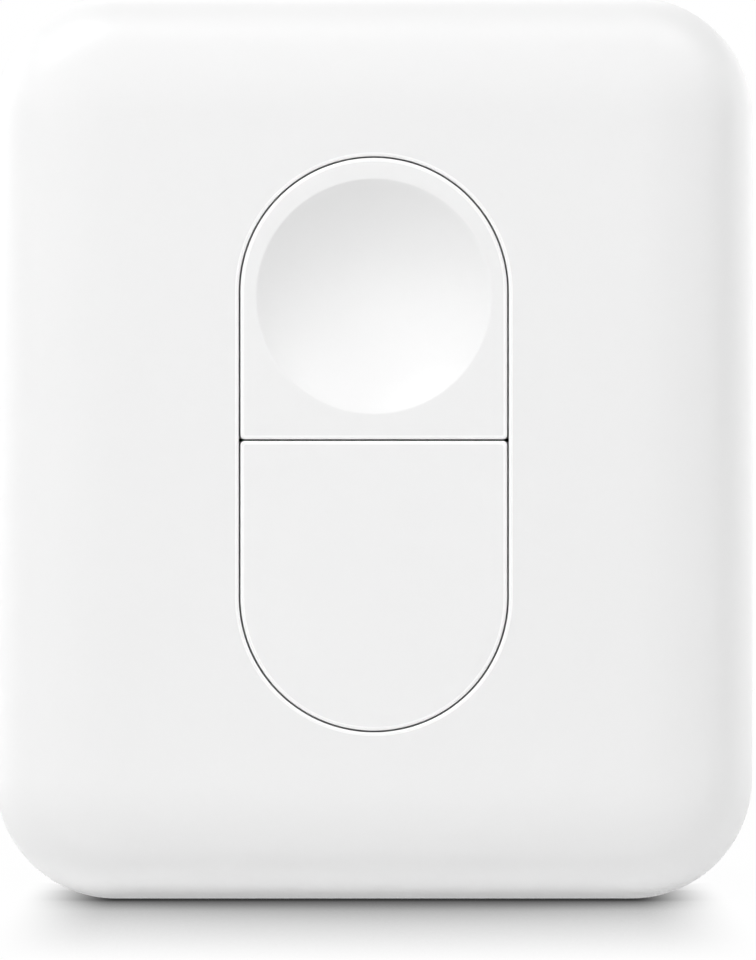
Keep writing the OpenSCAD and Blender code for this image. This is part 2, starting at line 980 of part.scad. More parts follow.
module coin_cell_seal() {
    in_r = cap_r + touch;
    out_r = cell_r - cell_skin_t - touch;
    lip_r = cell_r - can_lip - touch;
    lip_z = can_rim_z - cell_skin_t - touch;
    color(seal_grey)
        stand()
        rotate_extrude()
        polygon([
            [in_r, cap_brim_z + touch],
            [in_r, can_rim_z],
            [lip_r, can_rim_z],
            [lip_r, lip_z],
            [out_r, lip_z],
            [out_r, seal_low_z],
            [cap_brim_r + touch, seal_low_z],
            [cap_brim_r + touch, cap_brim_z + touch]
        ]);
}

// Pressed pellet, paper and lithium disc inside the cell.
module coin_cell_electrodes() {
    pellet_z = cell_z + cell_skin_t;
    paper_z = pellet_z + pellet_t + touch;
    lithium_z = paper_z + paper_t + touch;
    color(pellet_grey)
        stand() {
            translate([0, 0, pellet_z])
                cylinder(r = cap_r, h = pellet_t);
            translate([0, 0, paper_z])
                cylinder(r = cap_r + sink, h = paper_t);
            translate([0, 0, lithium_z])
                cylinder(r = cap_r - 2 * sink - can_break, h = cell_top_z - cell_skin_t - lithium_z);
        }
}

front_housing();
back_cover();
upper_key();
lower_key();
circuit_board();
board_screws();
upper_switch_base();
upper_switch_terminals();
upper_switch_dome();
upper_switch_plunger();
upper_switch_cover();
lower_switch_base();
lower_switch_terminals();
lower_switch_dome();
lower_switch_plunger();
lower_switch_cover();
radio_chip();
radio_crystal();
watch_crystal();
chip_capacitors();
chip_resistors();
status_led();
antenna_track();
test_pads();
battery_holder();
positive_contact();
negative_contact();
coin_cell_can();
coin_cell_seal();
coin_cell_cap();
coin_cell_electrodes();
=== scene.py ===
"""Smart button with an upper and a lower key: clean meshes for the shells and the keys,
a finish for every piece inside and out, and the studio that it stands in.

The part is drawn as it lies on its back, x to the right, y up the face and z out of the face,
and stand() turns each point up into the frame of the packed model. Lengths are metres.
"""

import json
import math

import bmesh
import bpy
from bpy.props import FloatProperty, FloatVectorProperty, PointerProperty
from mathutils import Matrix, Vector


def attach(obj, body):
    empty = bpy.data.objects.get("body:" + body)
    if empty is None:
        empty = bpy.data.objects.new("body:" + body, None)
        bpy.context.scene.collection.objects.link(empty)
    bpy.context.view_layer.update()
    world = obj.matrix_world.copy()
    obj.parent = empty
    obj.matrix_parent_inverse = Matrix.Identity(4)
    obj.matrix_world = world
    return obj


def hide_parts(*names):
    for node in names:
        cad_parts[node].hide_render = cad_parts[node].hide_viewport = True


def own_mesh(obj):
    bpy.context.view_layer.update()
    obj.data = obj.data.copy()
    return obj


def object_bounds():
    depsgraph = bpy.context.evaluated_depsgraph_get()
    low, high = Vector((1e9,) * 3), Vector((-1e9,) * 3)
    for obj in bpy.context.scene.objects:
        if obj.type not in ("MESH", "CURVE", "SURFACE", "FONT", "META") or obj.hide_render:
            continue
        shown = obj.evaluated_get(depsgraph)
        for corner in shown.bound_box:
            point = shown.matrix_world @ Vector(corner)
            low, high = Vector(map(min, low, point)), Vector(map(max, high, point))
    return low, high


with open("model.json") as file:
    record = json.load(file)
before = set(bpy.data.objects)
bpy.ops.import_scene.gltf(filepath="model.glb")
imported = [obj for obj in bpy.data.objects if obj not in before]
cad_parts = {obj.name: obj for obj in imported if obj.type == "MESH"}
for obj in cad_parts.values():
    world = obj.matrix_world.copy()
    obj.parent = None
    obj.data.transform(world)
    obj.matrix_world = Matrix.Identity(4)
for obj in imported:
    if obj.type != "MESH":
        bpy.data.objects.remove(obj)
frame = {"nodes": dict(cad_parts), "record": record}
CAD_LOW, CAD_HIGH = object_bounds()

bl_info = {
    "name": "Smart Button",
    "version": (1, 0, 0),
    "blender": (4, 5, 0),
    "location": "View3D > Sidebar > Smart Button",
    "description": "Builds a two-key smart button round its packed model and stages it",
    "category": "Object",
}

MM = 0.001

# Steps of the meshes: round a corner of the body, along a straight run, over a small edge, over a
# softened edge, and round a turned piece.
CORNER_STEPS = 32
RUN_STEPS = 20
EDGE_STEPS = 5
SOFT_STEPS = 3
TURN_STEPS = 48
# Width of the flat strip that keeps a face flat up to its rounded edge, and of the strip beside the
# edges of the keys and their opening that carries a painted highlight.
FLAT_STRIP = 0.05 * MM
HIGHLIGHT_STRIP = 0.08 * MM
# Points of a packed mesh that are closer than this are one point.
WELD = 0.0001 * MM
# Edges with more than the first angle are sharp, and faces within the second one are one flat.
SHARP_ANGLE = math.radians(32)
FLAT_ANGLE = math.radians(0.5)
# Sides in x and y of the four quarters, anticlockwise from the upper right one.
QUARTERS = ((1, 1), (-1, 1), (-1, -1), (1, -1))


def linear(hex_colour):
    """Linear RGBA of an sRGB hex value."""
    channels = [int(hex_colour[i:i + 2], 16) / 255 for i in (1, 3, 5)]
    return [c / 12.92 if c <= 0.04045 else ((c + 0.055) / 1.055) ** 2.4 for c in channels] + [1.0]


def length(name, text, millimetres):
    """Property for a length."""
    return FloatProperty(name=name, description=text, default=millimetres * MM, min=0.0,
                         precision=5, unit="LENGTH", subtype="DISTANCE")


def tint(name, text, hex_colour):
    """Property for a colour."""
    return FloatVectorProperty(name=name, description=text, default=linear(hex_colour), size=4,
                               min=0.0, max=1.0, subtype="COLOR")


class ShellSizes(bpy.types.PropertyGroup):
    """Sizes of the front housing and the back cover"""

    width: FloatProperty(name="Width", description="Width of the body",
                         default=CAD_HIGH.x - CAD_LOW.x, unit="LENGTH")
    height: FloatProperty(name="Height", description="Height of the body as it stands",
                          default=CAD_HIGH.z - CAD_LOW.z, unit="LENGTH")
    depth: FloatProperty(name="Depth", description="Depth of the body from back to face",
                         default=CAD_HIGH.y - CAD_LOW.y, unit="LENGTH")
    corner_r: length("Corner radius", "Corner radius of the outline", 5.8)
    wall_t: length("Wall", "Thickness of the side walls", 1.6)
    face_t: length("Face", "Thickness of the front wall", 1.6)
    edge_r: length("Edge radius", "Radius where the front edge runs into the sides", 3.3)
    sweep_r: length("Sweep radius", "Wide radius where the front edge runs into the face", 11.3)
    sweep_turn: FloatProperty(name="Sweep turn",
                              description="Angle that the wide radius turns through",
                              default=math.asin(0.28), unit="ROTATION")
    inner_edge_r: length("Inner radius", "Radius inside the front edge", 2.6)
    seam_z: length("Seam", "Depth of the seam from the back", 2.4)
    seam_gap: length("Seam gap", "Gap in the seam", 0.1)
    seam_edge_r: length("Seam edge", "Rounding of the seam edges", 0.2)
    boss_d: length("Boss", "Diameter of the screw bosses", 4)
    bore_d: length("Bore", "Diameter of the bores in the bosses", 1.64)
    bore_l: length("Bore depth", "Depth of those bores", 2.05)
    boss_x: length("Boss x", "Distance of the bosses from the middle, across", 13)
    boss_y: length("Boss y", "Distance of the bosses from the middle, up and down", 16.5)
    boss_z: length("Boss z", "Distance of the bosses' ends from the back", 8.1)
    back_edge_r: length("Back radius", "Radius of the back edge", 1.4)
    cover_t: length("Cover", "Thickness of the back cover", 1.2)
    tongue_gap: length("Tongue gap", "Gap round the tongue of the cover", 0.08)
    tongue_t: length("Tongue", "Thickness of the tongue", 0.8)
    tongue_l: length("Tongue length", "Length of the tongue past the seam", 2.2)
    tongue_edge_r: length("Tongue edge", "Rounding of the tongue's edges", 0.15)
    grip_r: length("Grip radius", "Radius of the grip ribs on the tongue", 0.4)
    grip_h: length("Grip height", "Height of the grip ribs", 0.06)
    ring_r: length("Cell ring", "Radius of the ring that steadies the cell", 11)
    ring_t: length("Ring thickness", "Thickness of that ring", 0.8)
    ring_h: length("Ring height", "Height of that ring", 0.25)
    pad_w: length("Pad width", "Width of the recess for a mounting pad", 26)
    pad_h: length("Pad height", "Height of the recess for a mounting pad", 33)
    pad_r: length("Pad radius", "Corner radius of that recess", 3)
    pad_depth: length("Pad depth", "Depth of that recess", 0.25)
    pad_edge_r: length("Pad edge", "Rounding of the rim of that recess", 0.1)
    nick_w: length("Nick width", "Width of the nick that opens the cover", 6)
    nick_h: length("Nick height", "Height of that nick", 0.8)
    nick_d: length("Nick depth", "Depth of that nick", 1)

    def outline(self, inset, z):
        """Points round the outline of the body, moved inwards."""
        return rect_ring(self.width - 2 * inset, self.height - 2 * inset, self.corner_r - inset, z)


class KeySizes(bpy.types.PropertyGroup):
    """Sizes of the keys and of the opening that they stand in"""

    opening_w: length("Opening width", "Width of the key opening", 12.92)
    opening_l: length("Opening length", "Length of the key opening", 27.56)
    opening_y: length("Opening height", "Height of the opening's centre above the body's", 0.15)
    split_y: length("Split", "Height of the split above the opening's centre", 0.2)
    gap: length("Gap", "Gap round each key and between the keys", 0.08)
    edge_r: length("Key edge", "Rounding of the edges of the keys and the opening", 0.1)
    corner_r: length("Key corner", "Rounding of the keys' corners at the split", 0.2)
    flange_w: length("Flange", "Width of the flange that holds a key", 0.7)
    flange_t: length("Flange thickness", "Thickness of that flange", 0.7)
    flange_z: length("Flange place", "Distance of the flange from the back", 9.65)
    rim_t: length("Rim", "Thickness of a key's rim", 1)
    plate_t: length("Plate", "Thickness of a key's plate", 1.2)
    rib_t: length("Rib", "Thickness of the ribs under the lower key", 0.7)
    rib_z: length("Rib place", "Distance of those ribs from the back", 9.95)
    dimple_d: length("Dimple", "Diameter of the finger dimple", 11.25)
    dimple_rise: length("Dimple rise", "Height of the dimple's centre above that of its key", 0.1)
    dimple_depth: length("Dimple depth", "Depth of the dimple", 1.4)
    dimple_rim_r: length("Dimple rim", "Rounding of the dimple's rim", 0.25)
    dimple_wall_t: length("Dimple wall", "Thickness of the upper key under the dimple", 0.8)
    stem_d: length("Stem", "Diameter of the stem that presses the switch", 3)
    stem_z: length("Stem place", "Distance of the stem's end from the back", 9.62)


class Colours(bpy.types.PropertyGroup):
    """Colours of what is seen from outside"""

    shell: tint("Shell", "White of the housing and the cover", "#EFEFEF")
    key: tint("Keys", "White of the keys", "#F0F0F0")
    floor: tint("Floor", "White of the table", "#FFFFFF")


class StageSizes(bpy.types.PropertyGroup):
    """Place of the camera"""

    camera_x: length("Camera x", "Sideways place of the camera", 0.2)
    camera_z: length("Camera height", "Height of the camera above the floor", 20.19)
    camera_away: length("Camera distance", "Distance of the camera from the widest section", 400)
    frame_h: length("Frame height", "Height of the picture at the widest section", 46.33)
    widest_y: length("Widest section", "Distance of that section before the middle", 2.4)


def stand(point):
    """A point of the lying part, stood up in the frame of the packed model."""
    shell = bpy.context.scene.shell_sizes
    return Vector((point[0], shell.depth / 2 - point[2], point[1] + shell.height / 2))


def rect_ring(width, height, radius, z):
    """Points round a rounded rectangle, anticlockwise from the top of its right side."""
    points = []
    reach_x = width / 2 - radius
    reach_y = height / 2 - radius
    for quarter, (side_x, side_y) in enumerate(QUARTERS):
        for step in range(CORNER_STEPS + 1):
            turn = (quarter + step / CORNER_STEPS) * math.pi / 2
            points.append((side_x * reach_x + radius * math.cos(turn),
                           side_y * reach_y + radius * math.sin(turn), z))
        next_x, next_y = QUARTERS[(quarter + 1) % 4]
        turn = (quarter + 1) * math.pi / 2
        begin = Vector(points[-1])
        end = Vector((next_x * reach_x + radius * math.cos(turn),
                      next_y * reach_y + radius * math.sin(turn), z))
        points += [tuple(begin.lerp(end, step / RUN_STEPS)) for step in range(1, RUN_STEPS)]
    return points


def pill_ring(radius, run, centre_y, z):
    """Points round a bar with round ends, one for each point of a rect_ring."""
    points = []
    steps = 2 * CORNER_STEPS + RUN_STEPS
    for end in (0, 1):
        end_y = run / 2 * (1 - 2 * end)
        for step in range(steps + 1):
            turn = (end + step / steps) * math.pi
            points.append((radius * math.cos(turn), centre_y + end_y + radius * math.sin(turn), z))
        points += [(points[-1][0], centre_y + end_y * (1 - 2 * step / RUN_STEPS), z)
                   for step in range(1, RUN_STEPS)]
    return points


def circle_ring(like, radius, z, centre_y=0.0):
    """Points of a circle, each in the direction of a point of another ring."""
    points = []
    for x, y, _ in like:
        away = math.hypot(x, y - centre_y)
        points.append((x / away * radius, centre_y + (y - centre_y) / away * radius, z))
    return points


def key_ring(keys, upper, inset, split_inset, corner_r, z):
    """Points round a key: its round end, a side, the straight edge at the split, the other side."""
    side = 1 if upper else -1
    half_w = keys.opening_w / 2 - keys.gap - inset
    arc_y = (keys.opening_l - keys.opening_w) / 2
    edge_y = side * keys.split_y + keys.gap / 2 + split_inset
    corner_x = half_w - corner_r
    corner_y = edge_y + corner_r
    steps = 2 * CORNER_STEPS + RUN_STEPS
    flat = [(x, arc_y + y) for x, y in arc(half_w, 0, 180, steps)]
    runs = [step / RUN_STEPS for step in range(1, RUN_STEPS)]
    flat += [(-half_w, arc_y + (corner_y - arc_y) * run) for run in runs]
    for turn_from, centre_x in ((180, -corner_x), (270, corner_x)):
        flat += [(centre_x + x, corner_y + y)
                 for x, y in arc(corner_r, turn_from, turn_from + 90, 2 * EDGE_STEPS)]
        if turn_from == 180:
            flat += [(corner_x * (2 * run - 1), edge_y) for run in runs]
    flat += [(half_w, corner_y + (arc_y - corner_y) * run) for run in runs]
    return [(x, keys.opening_y + side * y, z) for x, y in flat]


def arc(radius, begin, end, steps):
    """Offsets round an arc, from one angle to another, both in degrees."""
    turns = [math.radians(begin + (end - begin) * step / steps) for step in range(steps + 1)]
    return [(radius * math.cos(turn), radius * math.sin(turn)) for turn in turns]


def skin(name, rings, closed=False, edges=()):
    """Object of quads between neighbouring rings. A ring of one point is a tip, and a ring of
    many at either end is closed by one face, unless the last ring joins the first. The bands
    in edges, by their first ring, take the second finish."""
    form = bmesh.new()
    rows = [[form.verts.new(stand(point)) for point in ring] for ring in rings]
    pairs = list(zip(rows, rows[1:]))
    if closed:
        pairs.append((rows[-1], rows[0]))
    for band, (low, high) in enumerate(pairs):
        count = max(len(low), len(high))
        for i in range(count):
            j = (i + 1) % count
            corners = (low[i % len(low)], low[j % len(low)],
                       high[j % len(high)], high[i % len(high)])
            form.faces.new(list(dict.fromkeys(corners))).material_index = int(band in edges)
    if not closed:
        for row in (rows[0], rows[-1]):
            if len(row) > 1:
                form.faces.new(row)
    bmesh.ops.recalc_face_normals(form, faces=form.faces)
    mesh = bpy.data.meshes.new(name)
    form.to_mesh(mesh)
    form.free()
    for _ in range(2 if edges else 1):
        mesh.materials.append(None)
    piece = bpy.data.objects.new(name, mesh)
    bpy.context.scene.collection.objects.link(piece)
    return piece


def turned(name, profile, centre):
    """Object turned round an upright line of the lying part, from points of radius and height.
    A radius of nothing is a tip."""
    rings = []
    for radius, z in profile:
        turns = [math.tau * i / TURN_STEPS for i in range(TURN_STEPS if radius else 1)]
        rings.append([(centre[0] + radius * math.cos(turn), centre[1] + radius * math.sin(turn), z)
                      for turn in turns])
    return skin(name, rings)


def bar(name, size, low_z, centre):
    """Object that is a block of the lying part, on low_z and centred on x and y."""
    corners = [(centre[0] + side_x * size[0] / 2, centre[1] + side_y * size[1] / 2)
               for side_x, side_y in QUARTERS]
    return skin(name, [[(x, y, z) for x, y in corners] for z in (low_z, low_z + size[2])])


def combine(piece, others, operation):
    """Joins other objects to a piece or cuts them out of it, and removes them."""
    for other in others:
        step = piece.modifiers.new(operation, "BOOLEAN")
        step.operation = operation
        step.solver = "EXACT"
        step.object = other
    graph = bpy.context.evaluated_depsgraph_get()
    made = bpy.data.meshes.new_from_object(piece.evaluated_get(graph))
    piece.modifiers.clear()
    piece.data = made
    for other in others:
        bpy.data.objects.remove(other)


def place(piece, finishes, body, slot, *nodes):
    """Shades a finished piece and puts it on its body in place of its nodes."""
    for number, name in enumerate(finishes):
        piece.data.materials[number] = finish(name)
    piece.data.shade_smooth()
    piece.data.set_sharp_from_angle(angle=SHARP_ANGLE)
    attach(piece, body)
    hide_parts(*nodes)


def blocks(form):
    """Lowest and highest corner of each separate block of a form."""
    found = []
    met = set()
    for first in form.verts:
        if first in met:
            continue
        met.add(first)
        block = [first]
        for vert in block:
            near = [edge.other_vert(vert) for edge in vert.link_edges]
            block += [other for other in near if other not in met]
            met.update(near)
        found.append([[pick(vert.co[axis] for vert in block) for axis in range(3)]
                      for pick in (min, max)])
    return found


def mark_ends(form, ends):
    """Gives each block of a form the second finish over a length at both its ends."""
    for low, high in blocks(form):
        axis = max(range(3), key=lambda i: high[i] - low[i])
        along = Vector([float(i == axis) for i in range(3)])
        for cut in (low[axis] + ends, high[axis] - ends):
            faces = [face for face in form.faces
                     if all(low[i] <= face.calc_center_median()[i] <= high[i] for i in range(3))]
            lines = list(dict.fromkeys(line for face in faces for line in face.edges))
            verts = list(dict.fromkeys(vert for face in faces for vert in face.verts))
            bmesh.ops.bisect_plane(form, geom=verts + lines + faces, plane_co=along * cut,
                                   plane_no=along)
        for face in form.faces:
            middle = face.calc_center_median()
            if all(low[i] <= middle[i] <= high[i] for i in range(3)):
                face.material_index = int(not low[axis] + ends < middle[axis] < high[axis] - ends)


def soften(node, finishes, edge=0.0, ends=0.0):
    """Puts the form of a node in its place, with rounded edges if they have a radius, and with
    the second finish on the ends of its blocks if those have a length."""
    form = bmesh.new()
    form.from_mesh(frame["nodes"][node].data)
    bmesh.ops.remove_doubles(form, verts=form.verts, dist=WELD)
    if edge:
        bmesh.ops.dissolve_limit(form, angle_limit=FLAT_ANGLE, verts=form.verts, edges=form.edges)
        corners = [line for line in form.edges if line.calc_face_angle() > SHARP_ANGLE]
        bmesh.ops.bevel(form, geom=corners, offset=edge, segments=SOFT_STEPS, profile=0.5,
                        affect="EDGES", clamp_overlap=True)
    if ends:
        mark_ends(form, ends)
    mesh = bpy.data.meshes.new(node + "_form")
    form.to_mesh(mesh)
    form.free()
    for _ in finishes:
        mesh.materials.append(None)
    piece = bpy.data.objects.new(node + "_form", mesh)
    bpy.context.scene.collection.objects.link(piece)
    record = frame["record"]
    body = next(name for name, nodes in record["behaviour"]["bodies"].items() if node in nodes)
    slot = next(row["material_slot"] for row in record["subparts"] if row["node"] == node)
    place(piece, finishes, body, slot, node)
    return piece


def add_node(tree, kind, sockets, **settings):
    """Adds a node with its settings. A socket is given a value, or the output that feeds it."""
    made = tree.nodes.new(kind)
    for name, value in settings.items():
        setattr(made, name, value)
    for name, value in sockets.items():
        if isinstance(value, bpy.types.NodeSocket):
            tree.links.new(value, made.inputs[name])
        else:
            made.inputs[name].default_value = value
    return made


def shaded(colour, share):
    """A linear colour made lighter or darker by a share."""
    return [min(1.0, channel * share) for channel in colour[:3]] + [1.0]


# Sockets of a mix of colours and of a mix of numbers, which have the same names.
MIX_A, MIX_B, MIX_OUT = 6, 7, 2
NUMBER_A, NUMBER_B, NUMBER_OUT = 2, 3, 0

# Copper lanes: how many spacings wide a field of them is, the share of the fields where they run
# across and where there are none, the edge of a lane on its wave, and how much lighter it is.
FIELD_LANES = 7
ACROSS_SHARE = 0.5
BARE_SHARE = 0.45
LANE_EDGE = (0.62, 0.74)
LANE_LIGHT = 1.7
# Length of a wave texture's wave at a scale of 1.
WAVE = math.tau / 20

# Finishes by their materials: the sRGB colour or its name in Colours, the width in mm of the
# patches in it and their share of it, the span of the roughness, the width in mm and the height
# in um of the grain, and what else holds: the ior, metallic for a metal, stretch that makes the
# grain longer along an axis, rings that turn it round the coin cell, and lanes_mm, the spacing of
# copper lanes.
FINISHES = {
    # ABS moulded in a spark-eroded tool: an even satin white with a grain too fine to count
    "moulded_abs_shell": ("shell", 9, 0.006, (0.42, 0.5), 0.12, 2.0, {"ior": 1.53}),
    # ABS from a finer tool: the same white, a little closer and smoother under the finger
    "moulded_abs_key": ("key", 7, 0.005, (0.4, 0.47), 0.1, 1.5, {"ior": 1.53}),
    # ABS burnished by the steel that shuts off the gaps: a whiter line along each edge
    # ABS with a painted highlight: a whiter line along each rounded edge of the keys and their
    # opening, standing in for the light that those edges catch
    "burnished_abs_edge": ("#FCFCFC", 2, 0.01, (0.3, 0.4), 0.1, 0.5, {"ior": 1.53}),
    # glass-filled PBT, moulded: dull black with pale fibre flecks
    "moulded_pbt_black": ("#26272A", 0.6, 0.18, (0.45, 0.62), 0.15, 6.0, {"ior": 1.57}),
    # zinc-plated steel, cold headed: bluish grey with a cloudy bloom
    "zinc_plated_steel": ("#A9ACB0", 0.5, 0.1, (0.25, 0.42), 0.08, 1.5, {"metallic": 1.0}),
    # brass sheet with dull tin plate: soft grey metal, slightly streaked
    "tin_plated_brass": ("#C9CCD0", 0.8, 0.06, (0.28, 0.42), 0.05, 0.8, {"metallic": 1.0}),
    # stainless spring strip, rolled: bright grey with fine lines along the strip
    "rolled_spring_steel": ("#B9BCC0", 1.2, 0.05, (0.18, 0.34), 0.04, 0.8,
                            {"stretch": (30, 1, 1), "metallic": 1.0}),
    # nickel-plated steel, deep drawn: bright silver with faint turned rings
    "drawn_nickel_steel": ("#C8C9C9", 3, 0.04, (0.2, 0.34), 0.12, 0.6,
                           {"rings": True, "metallic": 1.0}),
    # acetal, moulded: smooth dark grey
    "moulded_acetal_grey": ("#4A4C50", 0.8, 0.05, (0.32, 0.42), 0.06, 1.0, {"ior": 1.48}),
    # polypropylene, moulded: waxy grey
    "moulded_polypropylene": ("#5A5C60", 0.8, 0.06, (0.4, 0.5), 0.08, 1.0, {"ior": 1.49}),
    # epoxy compound, transfer moulded: charcoal with a sandy face
    "moulded_epoxy_black": ("#1D1E20", 0.3, 0.15, (0.5, 0.68), 0.06, 4.0, {"ior": 1.55}),
    # barium titanate, fired: matt tan with a speckle
    "fired_ceramic_tan": ("#B39A78", 0.2, 0.1, (0.5, 0.62), 0.04, 2.0, {"ior": 1.7}),
    # overglaze on alumina, fired: black and a little glassy
    "glazed_ceramic_black": ("#303134", 0.3, 0.1, (0.2, 0.32), 0.08, 1.5, {"ior": 1.55}),
    # tin dipped over fired silver: soft bright grey with a slight ripple
    "tinned_terminal": ("#CDCFD1", 0.2, 0.08, (0.24, 0.4), 0.12, 4.0, {"metallic": 1.0}),
    # nickel-iron lid, seam welded and nickel plated: pale warm grey, faintly brushed
    "plated_nickel_lid": ("#BDB9AE", 0.6, 0.06, (0.26, 0.4), 0.04, 0.8,
                          {"stretch": (12, 1, 1), "metallic": 1.0}),
    # immersion gold on copper: warm yellow, slightly pebbled
    "immersion_gold": ("#D2AB58", 0.4, 0.06, (0.24, 0.38), 0.05, 1.0, {"metallic": 1.0}),
    # clear epoxy with a yellow phosphor, cast: pale amber, glossy
    "cast_epoxy_amber": ("#E9DFB6", 0.4, 0.06, (0.12, 0.2), 0.1, 0.8, {"ior": 1.54}),
    # manganese dioxide powder, pressed: matt dark grey with a coarse speckle
    "pressed_pellet": ("#3A3B3D", 0.25, 0.25, (0.7, 0.85), 0.1, 8.0, {"ior": 1.5}),
    # glass fabric and epoxy under a green mask: glossy, with the copper showing through as paler
    # lanes 0.8 mm apart, wider than the real ones so that they show
    "solder_mask_green": ("#1F5A3C", 1.0, 0.12, (0.22, 0.34), 0.2, 2.0,
                          {"ior": 1.55, "lanes_mm": 0.8}),
}


def finish(name):
    """The material of that name, made at its first use."""
    made = bpy.data.materials.get(name)
    if made:
        return made
    hue, mottle_mm, mottle, rough, grain_mm, grain_um, look = FINISHES[name]
    made = bpy.data.materials.new(name)
    made.use_nodes = True
    tree = made.node_tree
    tree.nodes.clear()
    if hue.startswith("#"):
        colour = linear(hue)
    else:
        colour = getattr(bpy.context.scene.button_colours, hue)
    where = add_node(tree, "ShaderNodeTexCoord", {}).outputs["Object"]
    patches = add_node(tree, "ShaderNodeTexNoise", {
        "Vector": where, "Scale": 1 / (mottle_mm * MM), "Detail": 3.0})
    tone = add_node(tree, "ShaderNodeMix", {
        0: patches.outputs["Fac"], MIX_A: shaded(colour, 1 - mottle),
        MIX_B: shaded(colour, 1 + mottle)}, data_type="RGBA").outputs[MIX_OUT]
    if look.get("lanes_mm"):
        # bundles of lanes run across in some fields of the board and up in the others
        spacing = look["lanes_mm"] * MM
        fields = add_node(tree, "ShaderNodeTexVoronoi", {
            "Vector": where, "Scale": 1 / (FIELD_LANES * spacing)}, distance="CHEBYCHEV")
        field = add_node(tree, "ShaderNodeSeparateColor", {
            "Color": fields.outputs["Color"]}).outputs
        across, up = [add_node(tree, "ShaderNodeTexWave", {
            "Vector": where, "Scale": WAVE / spacing}, bands_direction=axis).outputs["Fac"]
            for axis in "ZX"]
        turned_up = add_node(tree, "ShaderNodeMath", {0: field["Red"], 1: ACROSS_SHARE},
                             operation="GREATER_THAN")
        lanes = add_node(tree, "ShaderNodeMix", {
            0: turned_up.outputs["Value"], NUMBER_A: across, NUMBER_B: up})
        lanes = add_node(tree, "ShaderNodeMapRange", {
            "Value": lanes.outputs[NUMBER_OUT], "From Min": LANE_EDGE[0], "From Max": LANE_EDGE[1]})
        shown = add_node(tree, "ShaderNodeMath", {0: field["Green"], 1: BARE_SHARE},
                         operation="GREATER_THAN")
        lanes = add_node(tree, "ShaderNodeMath", {
            0: lanes.outputs["Result"], 1: shown.outputs["Value"]}, operation="MULTIPLY")
        tone = add_node(tree, "ShaderNodeMix", {
            0: lanes.outputs["Value"], MIX_A: tone, MIX_B: shaded(colour, LANE_LIGHT)},
            data_type="RGBA").outputs[MIX_OUT]
    if look.get("rings"):
        # lathe rings: the grain runs along the distance from the axis of the coin cell
        axis = stand((0, 0, 0))
        flat = add_node(tree, "ShaderNodeVectorMath", {0: where, 1: (1, 0, 1)},
                        operation="MULTIPLY")
        where = add_node(tree, "ShaderNodeVectorMath", {
            0: flat.outputs["Vector"], 1: (axis.x, 0, axis.z)},
            operation="DISTANCE").outputs["Value"]
    fine = add_node(tree, "ShaderNodeMapping", {
        "Vector": where,
        "Scale": [1 / (grain_mm * MM * along) for along in look.get("stretch", (1, 1, 1))]})
    grain = add_node(tree, "ShaderNodeTexNoise", {
        "Vector": fine.outputs["Vector"], "Scale": 1.0, "Detail": 2.0})
    gloss = add_node(tree, "ShaderNodeMapRange", {
        "Value": grain.outputs["Fac"], "To Min": rough[0], "To Max": rough[1]})
    relief = add_node(tree, "ShaderNodeBump", {
        "Height": grain.outputs["Fac"], "Distance": grain_um * MM * MM})
    shader = add_node(tree, "ShaderNodeBsdfPrincipled", {
        "Base Color": tone, "Roughness": gloss.outputs["Result"],
        "Normal": relief.outputs["Normal"], "Metallic": look.get("metallic", 0.0),
        "IOR": look.get("ior", 1.5)})
    add_node(tree, "ShaderNodeOutputMaterial", {"Surface": shader.outputs["BSDF"]})
    return made


def dress(node, name):
    """Gives a node of the packed model its finish."""
    piece = frame["nodes"][node]
    piece.data.materials.clear()
    piece.data.materials.append(finish(name))


